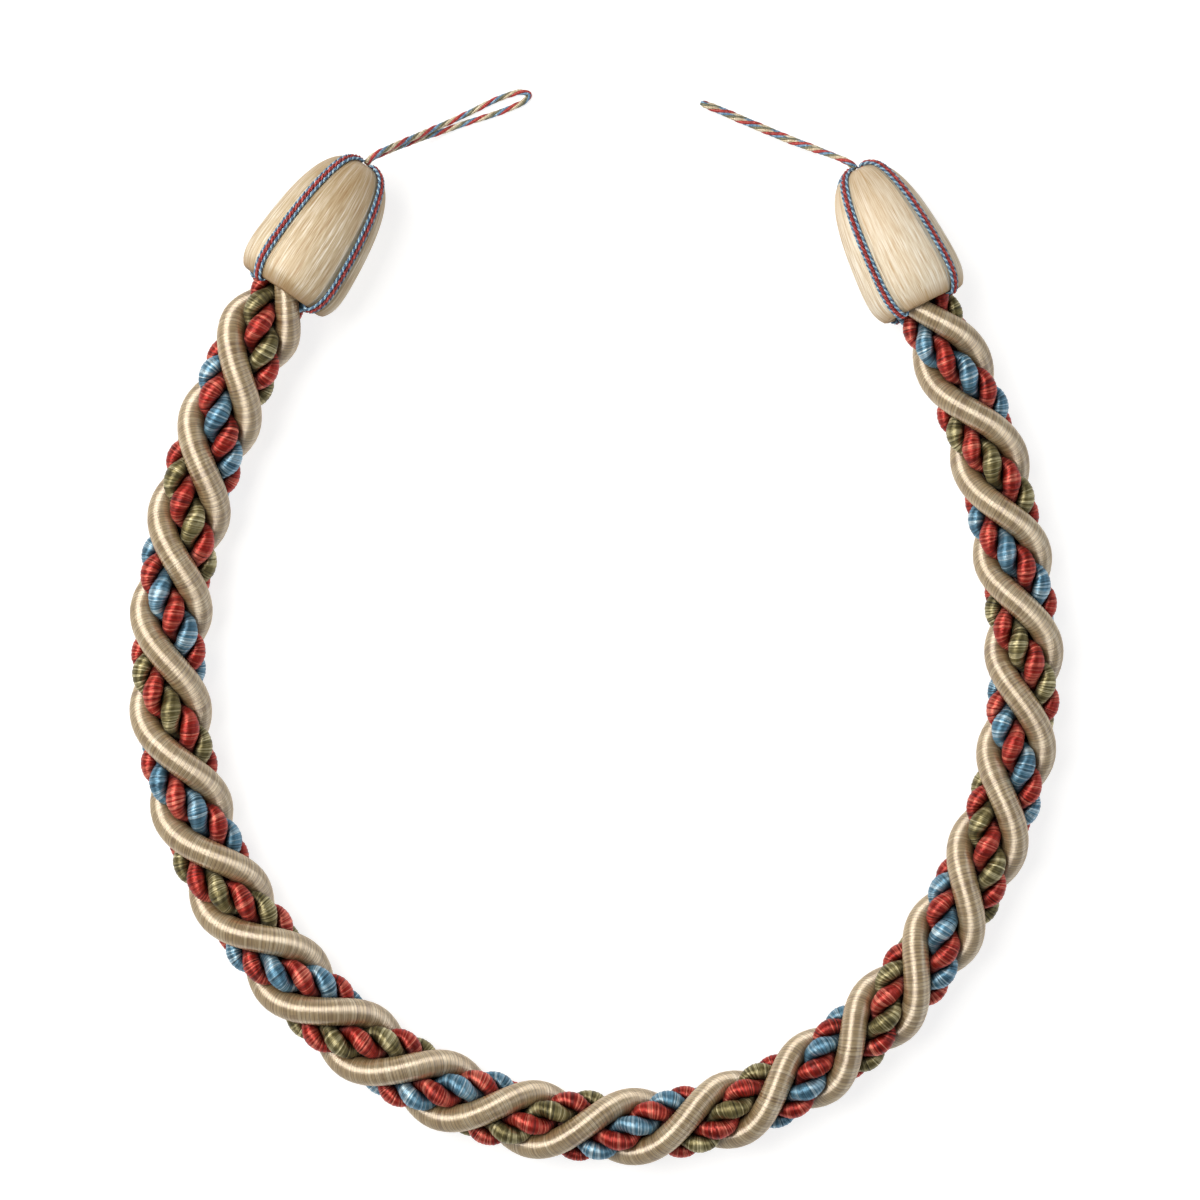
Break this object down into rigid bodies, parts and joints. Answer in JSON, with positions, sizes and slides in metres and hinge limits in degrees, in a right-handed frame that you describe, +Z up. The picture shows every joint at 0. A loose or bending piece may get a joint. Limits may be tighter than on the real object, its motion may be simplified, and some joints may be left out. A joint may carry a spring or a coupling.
{
  "type": "curtain holdback",
  "caption": "Laid rope curtain holdback lying in an open ring, with a thread-covered domed cap and a hanging loop of fine cord at each end.",
  "frame": {"origin": "middle of the outline, on the surface that the holdback lies on", "axes": "+Z up from the surface, +Y towards the open side between the two caps, +X towards the right cap seen from above"},
  "size_m": [0.2978, 0.3458, 0.0338],
  "materials": {
    "cream_gimp": "silky wound thread, champagne",
    "red_olive_gimp": "silky wound thread, one ply red and one olive",
    "red_blue_gimp": "silky wound thread, one ply red and one blue",
    "cap_silk": "silk thread laid lengthwise, champagne",
    "stripe_cord": "fine twisted cords, blue, red, blue",
    "loop_cord": "fine twisted cord of red, cream, olive and blue"
  },
  "bodies": {
    "root": {"cream_strand_a": "cream_gimp", "cream_strand_b": "cream_gimp", "red_olive_strand": "red_olive_gimp", "red_blue_strand": "red_blue_gimp", "cap_left": "cap_silk", "cap_right": "cap_silk", "cap_left_stripe_1": "stripe_cord", "cap_left_stripe_2": "stripe_cord", "cap_left_stripe_3": "stripe_cord", "cap_left_stripe_4": "stripe_cord", "cap_right_stripe_1": "stripe_cord", "cap_right_stripe_2": "stripe_cord", "cap_right_stripe_3": "stripe_cord", "cap_right_stripe_4": "stripe_cord", "loop_left": "loop_cord", "loop_right": "loop_cord"}
  },
  "joints": []
}
